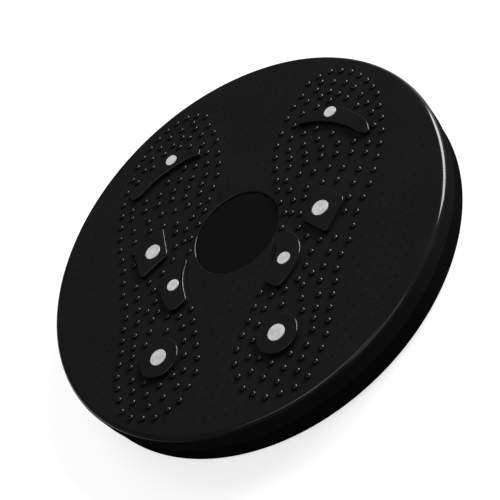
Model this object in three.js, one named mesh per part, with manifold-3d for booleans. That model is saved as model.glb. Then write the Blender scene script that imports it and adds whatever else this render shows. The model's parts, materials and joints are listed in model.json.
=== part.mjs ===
// Waist twisting disc: a round platform that a person stands on and turns from side to side.
// A moulded top plate with massage bumps, raised pads and magnets turns over a base plate on a ring
// of caged steel balls, and a bolt through the middle holds the two plates together.
// Millimetres, +Z up. The origin is on the floor under the turning axis, and the toes point to +Y.

import * as THREE from "three";
import { mergeGeometries, mergeVertices } from "three/addons/utils/BufferGeometryUtils.js";
import Module from "manifold-3d";

const wasm = await Module();
wasm.setup();

// Top plate: the face, its rounded edge and the skirt
const discRadius = 140;
const skirtHeight = 12.9;
const skirtWall = 2.6;
const faceThickness = 3;
const edgeFillet = 3.6;
const innerFillet = 1.8;

// Base plate: a dish whose wall stands under the skirt, with a lip that closes the seam from inside
const seamGap = 0.7;
const baseInset = 0.6;
const baseDraft = 0.2;
const baseHeight = 12.9;
const baseWall = 4;
const baseFloor = 3;
const baseEdgeChamfer = 1;
const lipHeight = 3.5;
const lipClearance = 0.6;

// Rubber feet in shallow pockets under the base, inset from its edge
const rubberFootCount = 6;
const rubberFootRadius = 12;
const rubberFootProud = 2.5;
const rubberFootSink = 1.5;
const rubberFootChamfer = 0.8;
const rubberFootInset = 19.4;

// Ball bearing: steel balls in a flat cage between two moulded races
const ballCount = 12;
const ballRadius = 4.75;
const ballCircle = 88;
const raceWidth = 16;
const raceLand = 3;
const cageGap = 0.4;
const cageRimWidth = 9;

// Stiffening ribs inside both plates
const ribCount = 8;
const ribThickness = 2.4;
const ribDepth = 4.5;

// Pivot: bolt, bush, washers and lock nut through the two hubs
const hubRadius = 13;
const boltRadius = 3;
const boltHeadRadius = 5.5;
const boltHeadHeight = 3;
const boltHeadRound = 1.2;
const boltSocketRadius = 2.3;
const boltSocketDepth = 1.8;
const bushWall = 1.5;
const bushFlangeRadius = 8;
const bushFlangeThickness = 1;
const washerRadius = 9;
const washerThickness = 1.2;
const thrustWasherRadius = 12;
const nutHexRadius = 5.8;
const nutHeight = 5;
const nutCollarRadius = 4.6;
const nutCollarHeight = 1.4;
const nutInset = 1.1;

// Centre recess in the face and the flat cap that lies in it
const recessRadius = 30;
const recessRimRound = 0.9;
const recessFloor = 3;
const capSink = 1.4;
const capThickness = 1.8;
const capChamfer = 0.4;

// Footprints: each is as long as the disc allows, lies a little behind the turning axis, and keeps
// its arch clear of the recess. The arch's inner side is at a share of half the footprint's width.
const footprintWidth = 84;
const footprintEndMargin = 23;
const footprintBehind = 5;
const footprintRecessGap = 4;
const footprintArchShare = 0.5;

// Massage bumps, raised pads and magnets on each footprint
const bumpRadius = 1.9;
const bumpHeight = 1.7;
const bumpShoulderRadiusShare = 0.7;
const bumpShoulderHeightShare = 0.75;
const padHeight = 3;
const padChamfer = 0.7;
const kiteCornerRound = 3;
const heelPadRadius = 13.7;
const smallMagnetRadius = 4.25;
const largeMagnetRadius = 5.5;
const magnetThickness = 4;
const magnetProud = 0.3;
const magnetChamfer = 0.4;

// Clearance between pieces that seat on each other, and the overrun of every cut and join
const seatGap = 0.3;
const overrun = 0.5;

// Facets round a circle
const plateSides = 48;
const smallSides = 20;
const hexagonSides = 6;
const pocketSides = 12;
const bumpSides = 5;
const ballSides = 10;
const ballBands = 7;
const filletSteps = 4;
const grooveSteps = 4;
const cornerSteps = 3;

// Heights, from the floor up
const baseBottom = rubberFootProud;
const floorTop = baseBottom + baseFloor;
const baseTop = baseBottom + baseHeight;
const skirtBottom = baseTop + seamGap;
const faceTop = skirtBottom + skirtHeight;
const faceUnder = faceTop - faceThickness;
const ballLevel = (floorTop + faceUnder) / 2;

// The pivot's stack: nut and washer from below, cap, bolt head, washer and bush from above,
// and the thrust washer midway, with a web of equal thickness in each hub
const nutBottom = baseBottom + nutInset;
const nutTop = nutBottom + nutHeight;
const baseWasherBottom = nutTop + seatGap;
const baseWebBottom = baseWasherBottom + washerThickness + seatGap;
const capTop = faceTop - capSink;
const capBottom = capTop - capThickness;
const capSeat = capBottom - seatGap;
const headTop = capBottom - seatGap;
const headBottom = headTop - boltHeadHeight;
const headWasherBottom = headBottom - seatGap - washerThickness;
const flangeTop = headWasherBottom - seatGap;
const flangeBottom = flangeTop - bushFlangeThickness;
const topWebTop = flangeBottom - seatGap;
const thrustLevel = (baseWebBottom + topWebTop) / 2;
const baseHubTop = thrustLevel - washerThickness / 2 - seatGap;
const topHubBottom = thrustLevel + washerThickness / 2 + seatGap;

// Magnets stand a little proud of their pads
const padTop = faceTop + padHeight;
const magnetTop = padTop + magnetProud;
const magnetBottom = magnetTop - magnetThickness;

// The footprints' length, and how far each one's middle lies to the side of the turning axis
const footprintLength = 2 * (discRadius - footprintEndMargin);
const footprintAside = recessRadius + footprintRecessGap + (footprintArchShare * footprintWidth) / 2;

// Radii that follow from the sizes above
const skirtInner = discRadius - skirtWall;
const baseRadius = discRadius - baseInset;
const baseInner = baseRadius - baseWall;
const rubberFootCircle = baseRadius - rubberFootInset - rubberFootRadius;
const lipOuter = skirtInner - lipClearance;
const raceInner = ballCircle - raceWidth / 2;
const raceOuter = ballCircle + raceWidth / 2;
const grooveRadius = ballRadius + seatGap;
const boltHole = boltRadius + seatGap;
const bushRadius = boltHole + bushWall;
const washerWell = washerRadius + seatGap;

// Each row of bumps on the right footprint runs through its points, evenly spaced. The points are
// shares of half the footprint's width and length, from its middle: outwards, then towards the toes.
const bumpRowShares = [
  // The outline, round the heel from the arch, up the outer side, over the toes and down the inner side
  { bumps: 8, share: [[-0.74, -0.4], [-0.88, -0.56], [-1, -0.71], [-1, -0.79], [-0.81, -0.93]] },
  { bumps: 5, share: [[-0.64, -0.97], [-0.43, -1], [-0.19, -0.99], [0.02, -0.97], [0.17, -0.93]] },
  { bumps: 8, share: [[0.26, -0.86], [0.38, -0.73], [0.4, -0.58], [0.45, -0.44], [0.45, -0.36]] },
  { bumps: 10, share: [[0.5, -0.28], [0.6, -0.21], [0.69, -0.04], [0.86, 0.12], [0.95, 0.29], [1, 0.45]] },
  { bumps: 3, share: [[0.98, 0.54], [0.93, 0.62], [0.88, 0.72]] },
  { bumps: 8, share: [[0.79, 0.78], [0.67, 0.85], [0.38, 0.95], [0.02, 1], [-0.17, 0.99], [-0.36, 0.96]] },
  { bumps: 3, share: [[-0.45, 0.88], [-0.6, 0.8], [-0.67, 0.74]] },
  { bumps: 5, share: [[-0.74, 0.64], [-0.79, 0.56], [-0.79, 0.47], [-0.71, 0.31]] },
  { bumps: 4, share: [[-0.67, 0.24], [-0.6, 0.15], [-0.5, 0.08], [-0.52, -0.02]] },
  // The second row in, from the toes down the outer side to the heel
  { bumps: 7, share: [[-0.12, 0.94], [0.12, 0.91], [0.31, 0.88], [0.48, 0.82], [0.71, 0.68], [0.81, 0.6]] },
  { bumps: 1, share: [[0.86, 0.5]] },
  { bumps: 2, share: [[0.79, 0.39], [0.76, 0.33]] },
  { bumps: 4, share: [[0.67, 0.23], [0.6, 0.15], [0.55, 0.07], [0.5, -0.02]] },
  { bumps: 5, share: [[0.38, -0.17], [0.24, -0.33], [0.21, -0.41], [0.21, -0.49]] },
  { bumps: 3, share: [[0.19, -0.56], [0.17, -0.62], [0.17, -0.68]] },
  { bumps: 3, share: [[0.1, -0.76], [0.05, -0.82], [0, -0.89]] },
  { bumps: 7, share: [[-0.29, -0.93], [-0.71, -0.85], [-0.79, -0.78], [-0.71, -0.59], [-0.64, -0.5]] },
  // The second row in, down the inner side of the ball
  { bumps: 6, share: [[-0.19, 0.89], [-0.36, 0.81], [-0.4, 0.74], [-0.52, 0.67], [-0.57, 0.5]] },
  { bumps: 2, share: [[-0.52, 0.44], [-0.52, 0.38]] },
  { bumps: 4, share: [[-0.55, 0.29], [-0.45, 0.21], [-0.38, 0.15], [-0.38, 0.06]] },
  // Between the pads of the ball, the arch and the heel
  { bumps: 4, share: [[-0.24, 0.04], [-0.24, -0.04], [-0.07, -0.12], [0.14, -0.16]] },
  { bumps: 5, share: [[0.02, -0.22], [-0.05, -0.3], [-0.14, -0.37], [-0.31, -0.41], [-0.55, -0.43]] },
  { bumps: 4, share: [[0.07, -0.35], [-0.07, -0.42], [-0.05, -0.5], [-0.02, -0.56]] },
  { bumps: 1, share: [[-0.36, -0.5]] },
  { bumps: 3, share: [[-0.62, -0.78], [-0.43, -0.82], [-0.21, -0.86]] },
  { bumps: 1, share: [[-0.14, -0.79]] },
  // Under the toes
  { bumps: 3, share: [[0.05, 0.85], [0.21, 0.81], [0.36, 0.76]] },
  { bumps: 1, share: [[0.55, 0.68]] },
  { bumps: 2, share: [[-0.1, 0.83], [0.07, 0.78]] },
  { bumps: 1, share: [[-0.14, 0.76]] },
  // Across the ball of the foot
  { bumps: 2, share: [[-0.33, 0.59], [-0.12, 0.6]] },
  { bumps: 3, share: [[-0.31, 0.51], [0.17, 0.53]] },
  { bumps: 4, share: [[-0.26, 0.44], [0, 0.45], [0.26, 0.45], [0.55, 0.43]] },
  { bumps: 4, share: [[-0.24, 0.38], [0, 0.39], [0.26, 0.38], [0.52, 0.36]] },
  { bumps: 4, share: [[-0.33, 0.31], [-0.1, 0.3], [0.17, 0.3], [0.4, 0.27]] },
  { bumps: 3, share: [[-0.17, 0.2], [0.1, 0.21], [0.33, 0.2]] },
  { bumps: 1, share: [[-0.19, 0.14]] },
];

// The whole pattern of bumps lies this much further outwards and towards the toes, in the same shares
const bumpPatternShares = [0.01, 0.0065];

// The four magnets of a footprint, in the same shares
const magnetShares = {
  toe: { radius: smallMagnetRadius, share: [0.143, 0.677] },
  ball: { radius: largeMagnetRadius, share: [0.143, 0.031] },
  arch: { radius: smallMagnetRadius, share: [-0.369, -0.23] },
  heel: { radius: largeMagnetRadius, share: [-0.343, -0.664] },
};

// Outlines of the raised pads, in the same shares: a crescent under the toes, a kite under the
// ball and a kidney under the arch. The heel's pad is round, about its magnet.
const crescentShares = [
  [-0.41, 0.7], [-0.41, 0.655], [-0.15, 0.648], [0.08, 0.617], [0.32, 0.574], [0.51, 0.523],
  [0.65, 0.47], [0.77, 0.452], [0.84, 0.466], [0.8, 0.53], [0.68, 0.59], [0.5, 0.648], [0.3, 0.7],
  [0.12, 0.726], [-0.12, 0.724],
];
const kiteShares = [[0.05, 0.185], [-0.14, -0.005], [0.27, -0.12], [0.48, 0.075]];
const kidneyShares = [
  [-0.4, -0.045], [-0.53, -0.08], [-0.52, -0.17], [-0.56, -0.247], [-0.64, -0.33], [-0.62, -0.372],
  [-0.5, -0.386], [-0.3, -0.35], [-0.17, -0.28], [-0.13, -0.205], [-0.17, -0.135], [-0.27, -0.075],
];

/** A closed three.js geometry as a solid, with its shared vertices merged and its slivers dropped. */
function solid(geometry) {
  const bare = new THREE.BufferGeometry();
  bare.setAttribute("position", geometry.getAttribute("position").clone());
  if (geometry.index) bare.setIndex(geometry.index.clone());
  const merged = mergeVertices(bare);
  const corners = merged.index.array;
  const kept = [];
  for (let i = 0; i < corners.length; i += 3) {
    const [a, b, c] = [corners[i], corners[i + 1], corners[i + 2]];
    if (a !== b && b !== c && c !== a) kept.push(a, b, c);
  }
  const mesh = new wasm.Mesh({
    numProp: 3,
    vertProperties: new Float32Array(merged.getAttribute("position").array),
    triVerts: new Uint32Array(kept),
  });
  return new wasm.Manifold(mesh);
}

/** The three.js geometry of a solid. */
function geometryOf(body) {
  const mesh = body.getMesh();
  const geometry = new THREE.BufferGeometry();
  geometry.setAttribute("position", new THREE.BufferAttribute(mesh.vertProperties, 3));
  geometry.setIndex(new THREE.BufferAttribute(mesh.triVerts, 1));
  geometry.computeVertexNormals();
  return geometry;
}

/** A profile of [radius, height] points, anticlockwise, turned round the Z axis. */
function turned(profile, sides) {
  const points = profile.map(([radius, height]) => new THREE.Vector2(radius, height));
  return new THREE.LatheGeometry(points, sides).rotateX(Math.PI / 2);
}

/** A closed ring section, turned round the Z axis. */
function turnedRing(profile, sides) {
  return turned([...profile, profile[0]], sides);
}

/** A flat ring between two radii and two heights. */
function flatRing(inner, outer, bottom, top, sides) {
  return turnedRing([[inner, bottom], [outer, bottom], [outer, top], [inner, top]], sides);
}

/** A disc between two heights, with a chamfer round its top edge. */
function disc(radius, bottom, top, chamfer, sides) {
  const rim = [[radius, bottom], [radius, top - chamfer], [radius - chamfer, top]];
  return turned([[0, bottom], ...rim, [0, top]], sides);
}

/** A plain cylinder between two heights. */
function cylinder(radius, bottom, top, sides) {
  return turned([[0, bottom], [radius, bottom], [radius, top], [0, top]], sides);
}

/** Points on an arc about a centre, ends included, angles in radians. */
function arc(centreX, centreY, radius, start, end, steps) {
  return Array.from({ length: steps + 1 }, (_, step) => {
    const angle = start + ((end - start) * step) / steps;
    return [centreX + radius * Math.cos(angle), centreY + radius * Math.sin(angle)];
  });
}

/** A place on a footprint: side is 1 for the right foot and -1 for the left. */
function footprintPlace([across, along], side) {
  return new THREE.Vector2(
    side * (footprintAside + (across * footprintWidth) / 2),
    (along * footprintLength) / 2 - footprintBehind,
  );
}

/** Places of a row's bumps, evenly spaced along a smooth curve through its points. */
function rowPlaces(row, side) {
  const [outwards, onwards] = bumpPatternShares;
  const shares = row.share.map(([across, along]) => [across + outwards, along + onwards]);
  const through = shares.map((share) => footprintPlace(share, side));
  if (row.bumps === 1) return through;
  const curve = new THREE.CatmullRomCurve3(through.map((place) => new THREE.Vector3(place.x, place.y, 0)));
  return curve.getSpacedPoints(row.bumps - 1);
}

/** Every bump of both footprints as low faceted domes, rooted in the face. */
function bumps() {
  const dome = [
    [0, -overrun],
    [bumpRadius, -overrun],
    [bumpRadius, 0],
    [bumpRadius * bumpShoulderRadiusShare, bumpHeight * bumpShoulderHeightShare],
    [0, bumpHeight],
  ];
  const domes = [];
  for (const side of [1, -1]) {
    for (const row of bumpRowShares) {
      for (const place of rowPlaces(row, side)) {
        domes.push(turned(dome, bumpSides).translate(place.x, place.y, faceTop));
      }
    }
  }
  return solid(mergeGeometries(domes));
}

/** A polygon's corners rounded to one radius. */
function roundedOutline(corners, radius) {
  return corners.flatMap((corner, index) => {
    const before = corners[(index + corners.length - 1) % corners.length].clone().sub(corner).normalize();
    const after = corners[(index + 1) % corners.length].clone().sub(corner).normalize();
    const halfAngle = Math.acos(before.dot(after)) / 2;
    const inwards = before.clone().add(after).normalize();
    const centre = inwards.multiplyScalar(radius / Math.sin(halfAngle)).add(corner);
    const start = before.multiplyScalar(radius / Math.tan(halfAngle)).add(corner).sub(centre);
    const end = after.multiplyScalar(radius / Math.tan(halfAngle)).add(corner).sub(centre);
    const turn = Math.atan2(start.cross(end), start.dot(end));
    return Array.from({ length: cornerSteps + 1 }, (_, step) =>
      start.clone().rotateAround(new THREE.Vector2(), (turn * step) / cornerSteps).add(centre));
  });
}

/** A raised pad over a closed outline, chamfered round its top and rooted in the face. */
function pad(outline) {
  const geometry = new THREE.ExtrudeGeometry(new THREE.Shape(outline), {
    depth: padHeight + overrun - padChamfer,
    bevelThickness: padChamfer,
    bevelSize: padChamfer,
    bevelOffset: -padChamfer,
    bevelSegments: 1,
  });
  return solid(geometry.translate(0, 0, faceTop - overrun));
}

/** The four pads of a footprint. */
function pads(side) {
  const places = (shares) => shares.map((share) => footprintPlace(share, side));
  const heel = footprintPlace(magnetShares.heel.share, side);
  const heelOutline = arc(heel.x, heel.y, heelPadRadius, 0, 2 * Math.PI, smallSides).slice(0, -1);
  return [
    pad(places(crescentShares)),
    pad(roundedOutline(places(kiteShares), kiteCornerRound)),
    pad(places(kidneyShares)),
    pad(heelOutline.map(([x, y]) => new THREE.Vector2(x, y))),
  ];
}

/** A race land with its ball groove: dip is 1 in the top plate and -1 in the base. */
function race(dip) {
  const start = Math.asin(raceLand / grooveRadius);
  return arc(ballCircle, ballLevel, grooveRadius, dip * start, dip * (Math.PI - start), grooveSteps);
}

/** Radial ribs from a middle boss to the race and from the race to the rim. */
function ribs(bottom, top, bossRadius, rimRadius) {
  const spans = [[bossRadius - overrun, raceInner + overrun], [raceOuter - overrun, rimRadius + overrun]];
  const boxes = [];
  for (const [start, end] of spans) {
    for (let index = 0; index < ribCount; index += 1) {
      const box = new THREE.BoxGeometry(end - start, ribThickness, top - bottom);
      box.translate((start + end) / 2, 0, (bottom + top) / 2);
      boxes.push(box.rotateZ(((index + 0.5) * 2 * Math.PI) / ribCount));
    }
  }
  return solid(mergeGeometries(boxes));
}

/** The moulded top plate: hub, upper race, skirt, rounded edge, face, pads, bumps and pockets. */
function topPlate() {
  const landLevel = ballLevel + raceLand;
  const seatUnder = capSeat - recessFloor;
  const seatOuter = recessRadius + recessFloor;
  const shell = turnedRing([
    [bushRadius + seatGap, topHubBottom],
    [hubRadius, topHubBottom],
    [hubRadius, seatUnder],
    [seatOuter, seatUnder],
    [seatOuter, faceUnder],
    [raceInner, faceUnder],
    [raceInner, landLevel],
    ...race(1).reverse(),
    [raceOuter, landLevel],
    [raceOuter, faceUnder],
    [skirtInner - innerFillet, faceUnder],
    [skirtInner, faceUnder - innerFillet],
    [skirtInner, skirtBottom],
    [discRadius, skirtBottom],
    ...arc(discRadius - edgeFillet, faceTop - edgeFillet, edgeFillet, 0, Math.PI / 2, filletSteps),
    [recessRadius + recessRimRound, faceTop],
    [recessRadius, faceTop - recessRimRound],
    [recessRadius, capSeat],
    [washerWell, capSeat],
    [washerWell, topWebTop],
    [bushRadius + seatGap, topWebTop],
  ], plateSides);
  let body = solid(shell).add(bumps());
  body = body.add(ribs(faceUnder - ribDepth, faceUnder + overrun, seatOuter, skirtInner));
  for (const side of [1, -1]) {
    for (const raised of pads(side)) body = body.add(raised);
    for (const magnet of Object.values(magnetShares)) {
      const place = footprintPlace(magnet.share, side);
      const radius = magnet.radius + seatGap;
      const pocket = cylinder(radius, magnetBottom - seatGap, magnetTop + overrun, pocketSides);
      body = body.subtract(solid(pocket.translate(place.x, place.y, 0)));
    }
  }
  return body;
}

/** The base plate: a dish with the lower race, a hub, ribs, a seam lip and pockets for the feet. */
function basePlate() {
  const landLevel = ballLevel - raceLand;
  const footRadius = baseRadius - baseDraft;
  const shell = turnedRing([
    [boltHole, baseWebBottom],
    [washerWell, baseWebBottom],
    [washerWell, baseBottom],
    [footRadius - baseEdgeChamfer, baseBottom],
    [footRadius, baseBottom + baseEdgeChamfer],
    [baseRadius, baseTop],
    [lipOuter, baseTop],
    [lipOuter, baseTop + lipHeight],
    [baseInner, baseTop + lipHeight],
    [baseInner, floorTop],
    [raceOuter, floorTop],
    [raceOuter, landLevel],
    ...race(-1),
    [raceInner, landLevel],
    [raceInner, floorTop],
    [hubRadius, floorTop],
    [hubRadius, baseHubTop],
    [boltHole, baseHubTop],
  ], plateSides);
  let body = solid(shell).add(ribs(floorTop - overrun, floorTop + ribDepth, hubRadius, baseInner));
  const footPocketTop = baseBottom + rubberFootSink;
  for (const angle of footAngles()) {
    const pocket = cylinder(rubberFootRadius + seatGap, baseBottom - overrun, footPocketTop, smallSides);
    body = body.subtract(solid(pocket.translate(rubberFootCircle, 0, 0).rotateZ(angle)));
  }
  return body;
}

/** Angles of the rubber feet round the base. */
function footAngles() {
  return Array.from({ length: rubberFootCount }, (_, index) => (index * 2 * Math.PI) / rubberFootCount);
}

/** Angles of the balls round the race. */
function ballAngles() {
  return Array.from({ length: ballCount }, (_, index) => (index * 2 * Math.PI) / ballCount);
}

/** The flat cage with a round pocket for each ball. */
function ballCage() {
  const half = raceLand - cageGap;
  const inner = ballCircle - cageRimWidth;
  const outer = ballCircle + cageRimWidth;
  let body = solid(flatRing(inner, outer, ballLevel - half, ballLevel + half, plateSides));
  const reach = half + overrun;
  for (const angle of ballAngles()) {
    const pocket = cylinder(ballRadius + seatGap, ballLevel - reach, ballLevel + reach, pocketSides);
    body = body.subtract(solid(pocket.translate(ballCircle, 0, 0).rotateZ(angle)));
  }
  return body;
}

/** The pivot bolt: a low round head with a hexagon socket, and a plain shank down through the nut. */
function pivotBolt() {
  const bolt = solid(turned([
    [0, nutBottom],
    [boltRadius, nutBottom],
    [boltRadius, headBottom],
    [boltHeadRadius, headBottom],
    [boltHeadRadius, headTop - boltHeadRound],
    [boltHeadRadius - boltHeadRound, headTop],
    [0, headTop],
  ], smallSides));
  const socket = cylinder(boltSocketRadius, headTop - boltSocketDepth, headTop + overrun, hexagonSides);
  return bolt.subtract(solid(socket));
}

/** The lock nut: a hexagon with a round locking collar below, bored for the bolt. */
function lockNut() {
  const collarTop = nutBottom + nutCollarHeight;
  const hexagon = solid(cylinder(nutHexRadius, collarTop, nutTop, hexagonSides));
  const collar = solid(cylinder(nutCollarRadius, nutBottom, collarTop + overrun, smallSides));
  const bore = solid(cylinder(boltHole, nutBottom - overrun, nutTop + overrun, smallSides));
  return hexagon.add(collar).subtract(bore);
}

/** The flanged bush that the top plate turns on. */
function pivotBush() {
  return solid(turnedRing([
    [boltHole, topHubBottom],
    [bushRadius, topHubBottom],
    [bushRadius, flangeBottom],
    [bushFlangeRadius, flangeBottom],
    [bushFlangeRadius, flangeTop],
    [boltHole, flangeTop],
  ], smallSides));
}

/** A flat washer on the bolt. */
function washer(radius, bottom) {
  return solid(flatRing(boltHole, radius, bottom, bottom + washerThickness, smallSides));
}

/** A rubber foot, chamfered where it meets the floor. */
function rubberFoot() {
  const top = rubberFootProud + rubberFootSink - seatGap;
  return solid(turned([
    [0, 0],
    [rubberFootRadius - rubberFootChamfer, 0],
    [rubberFootRadius, rubberFootChamfer],
    [rubberFootRadius, top],
    [0, top],
  ], smallSides));
}

// Finishes
const finishes = {
  top: new THREE.MeshStandardMaterial({ color: 0x1d1d1f, roughness: 0.45, metalness: 0 }),
  base: new THREE.MeshStandardMaterial({ color: 0x151517, roughness: 0.5, metalness: 0 }),
  cap: new THREE.MeshStandardMaterial({ color: 0x111112, roughness: 0.55, metalness: 0 }),
  magnet: new THREE.MeshStandardMaterial({ color: 0xc9cacc, roughness: 0.35, metalness: 0.8 }),
  steel: new THREE.MeshStandardMaterial({ color: 0xb4b6ba, roughness: 0.25, metalness: 1 }),
  nylon: new THREE.MeshStandardMaterial({ color: 0xe8e6de, roughness: 0.5, metalness: 0 }),
  rubber: new THREE.MeshStandardMaterial({ color: 0x1b1b1b, roughness: 0.9, metalness: 0 }),
};

const twistingDisc = new THREE.Group();

/** Adds one named piece to the object. */
function addPiece(name, body, finish) {
  const mesh = new THREE.Mesh(geometryOf(body), finish);
  mesh.name = name;
  twistingDisc.add(mesh);
  return mesh;
}

/** The flat cap in the recess. */
function centreCap() {
  return solid(disc(recessRadius - seatGap, capBottom, capTop, capChamfer, plateSides));
}

addPiece("base_plate", basePlate(), finishes.base);
addPiece("top_plate", topPlate(), finishes.top);
addPiece("centre_cap", centreCap(), finishes.cap);

// Magnets, each in the pocket of its pad
for (const [sideName, side] of [["right", 1], ["left", -1]]) {
  for (const [place, magnet] of Object.entries(magnetShares)) {
    const body = solid(disc(magnet.radius, magnetBottom, magnetTop, magnetChamfer, pocketSides));
    const mesh = addPiece(`magnet_${place}_${sideName}`, body, finishes.magnet);
    const { x, y } = footprintPlace(magnet.share, side);
    mesh.position.set(x, y, 0);
  }
}

// The ball bearing
addPiece("ball_cage", ballCage(), finishes.nylon);
ballAngles().forEach((angle, index) => {
  const sphere = new THREE.SphereGeometry(ballRadius, ballSides, ballBands);
  const mesh = addPiece(`steel_ball_${index + 1}`, solid(sphere), finishes.steel);
  mesh.position.set(ballCircle * Math.cos(angle), ballCircle * Math.sin(angle), ballLevel);
  mesh.rotation.set(Math.PI / 2, 0, 0);
});

// The pivot
addPiece("pivot_bolt", pivotBolt(), finishes.steel);
addPiece("head_washer", washer(washerRadius, headWasherBottom), finishes.steel);
addPiece("pivot_bush", pivotBush(), finishes.nylon);
addPiece("thrust_washer", washer(thrustWasherRadius, thrustLevel - washerThickness / 2), finishes.nylon);
addPiece("base_washer", washer(washerRadius, baseWasherBottom), finishes.steel);
addPiece("lock_nut", lockNut(), finishes.steel);

// The rubber feet
footAngles().forEach((angle, index) => {
  const mesh = addPiece(`rubber_foot_${index + 1}`, rubberFoot(), finishes.rubber);
  mesh.position.set(rubberFootCircle * Math.cos(angle), rubberFootCircle * Math.sin(angle), 0);
});

export default twistingDisc;
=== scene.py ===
"""Waist twisting disc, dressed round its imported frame.

A black moulded platform with massage bumps, raised pads and round magnets turns over a black base
on a ring of caged balls. Lengths are metres in the frame's own axes: +Z up the turning axis, +Y
towards the toes of the footprints, +X towards the right footprint, the floor at zero.
"""

from __future__ import annotations

import json
import logging
import math
from collections.abc import Mapping, Sequence
from dataclasses import dataclass, field
from enum import Enum

import bmesh
import bpy
import numpy as np
from mathutils import Matrix, Vector
from mathutils.geometry import tessellate_polygon


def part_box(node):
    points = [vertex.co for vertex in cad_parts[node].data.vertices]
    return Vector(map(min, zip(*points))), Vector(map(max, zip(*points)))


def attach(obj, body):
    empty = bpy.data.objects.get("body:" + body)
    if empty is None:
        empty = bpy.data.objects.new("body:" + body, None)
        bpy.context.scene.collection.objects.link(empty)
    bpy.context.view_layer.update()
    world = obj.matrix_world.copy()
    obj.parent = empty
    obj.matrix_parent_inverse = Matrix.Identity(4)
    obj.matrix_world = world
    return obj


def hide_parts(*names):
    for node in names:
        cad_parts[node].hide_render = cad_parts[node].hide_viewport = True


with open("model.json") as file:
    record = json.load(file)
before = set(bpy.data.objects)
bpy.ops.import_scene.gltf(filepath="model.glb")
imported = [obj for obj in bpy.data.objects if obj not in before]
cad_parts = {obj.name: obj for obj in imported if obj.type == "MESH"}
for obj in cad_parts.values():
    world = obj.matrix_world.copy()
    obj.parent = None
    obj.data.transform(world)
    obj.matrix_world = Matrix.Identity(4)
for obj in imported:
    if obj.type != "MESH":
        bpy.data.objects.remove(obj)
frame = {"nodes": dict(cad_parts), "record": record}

LOG = logging.getLogger("twisting_disc")
MM = 0.001

# Play between pieces that lie in each other, and the bolt's hole in the pieces round it
SEAT_GAP = 0.3 * MM
BOLT_HOLE = 3.3 * MM

# Both hubs, and the steps round the large turned pieces
HUB_RADIUS = 13 * MM
DISC_SIDES = 288

# Roundings of moulded corners, from the finest edge to the root of a wall
FINE_ROUND = 0.2 * MM
SOFT_ROUND = 0.3 * MM
BROAD_ROUND = 0.4 * MM
ROOT_ROUND = 0.8 * MM

# Distance of a guard point past an arc, in shares of the arc's radius
GUARD_SHARE = 0.2
# An outline's corner keeps its tip below this angle in degrees
TIP_ANGLE = 130.0
# Points of the curve over each corner of an outline
CURVE_POINTS = 9
# Points nearer than this become one
WELD_DISTANCE = 0.002 * MM

# Angles in degrees past which an edge stays sharp
MOULDED_SHARP = 40.0
DOME_SHARP = 80.0
HEXAGON_SHARP = 30.0

# Two coordinates or limits; a corner's two coordinates and its rounding; red, green and blue
Pair = tuple[float, float]
Corner = tuple[float, float, float]
Colour = tuple[float, float, float]


class Body(Enum):
    """The moving bodies that pieces ride on, apart from the balls' own."""

    BASE = "base"
    PLATFORM = "platform"
    CAGE = "cage"


class Slot(Enum):
    """The record's material slots."""

    TOP = "top_moulding"
    BASE = "base_moulding"
    INSERT = "centre_insert"
    MAGNET = "magnet"
    STEEL = "steel"
    NYLON = "nylon"
    RUBBER = "foot_rubber"


# Surfaces


@dataclass
class Surface:
    """Points of a surface and the faces between them.

    Args:
        points: Places in metres, one row each.
        faces: Arrays of point numbers, one array for each count of corners.
    """

    points: np.ndarray
    faces: list[np.ndarray]

    def moved(self, x: float, y: float) -> Surface:
        """The same surface, carried sideways."""
        return Surface(self.points + np.array([x, y, 0.0]), self.faces)

    def mirrored(self) -> Surface:
        """The same surface on the other side of the plane between the feet."""
        return Surface(self.points * [-1, 1, 1], [face[:, ::-1] for face in self.faces])


def turns(count: int, start: float = 0.0) -> np.ndarray:
    """Even angles once round, in radians, from a start that is given in steps."""
    return (np.arange(count) + start) * 2 * math.pi / count


def circle(radius: float, sides: int, x: float = 0.0, y: float = 0.0) -> np.ndarray:
    """Points round a circle, anticlockwise from the +X side."""
    return np.column_stack([x + radius * np.cos(turns(sides)), y + radius * np.sin(turns(sides))])


def grid(points: np.ndarray, wrap_rows: bool = False) -> Surface:
    """A surface over a grid whose columns close on themselves.

    The face at row i and column j joins points (i, j), (i, j+1), (i+1, j+1) and (i+1, j).

    Args:
        points: Places, shaped rows by columns by 3.
        wrap_rows: Whether the last row joins the first.

    Returns:
        The surface of quadrilaterals.
    """
    rows, columns = points.shape[:2]
    i, j = np.meshgrid(np.arange(rows if wrap_rows else rows - 1), np.arange(columns), indexing="ij")
    after_i, after_j = (i + 1) % rows, (j + 1) % columns
    corners = [i * columns + j, i * columns + after_j, after_i * columns + after_j, after_i * columns + j]
    return Surface(points.reshape(-1, 3), [np.stack(corners, -1).reshape(-1, 4)])


def turned(profile: np.ndarray, sides: int, wrap: bool = False) -> Surface:
    """A profile turned round the Z axis.

    The point of profile row (r, z) at angle a is (r cos a, r sin a, z).

    Args:
        profile: Radius and height of each row, with the outside on the right of the way along it.
        sides: Steps round the axis.
        wrap: Whether the profile closes on itself.

    Returns:
        The turned surface.
    """
    angle = turns(sides)
    radius, height = profile[:, :1], profile[:, 1:]
    points = np.stack([radius * np.cos(angle), radius * np.sin(angle), height + 0 * angle], -1)
    return grid(points, wrap)


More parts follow.
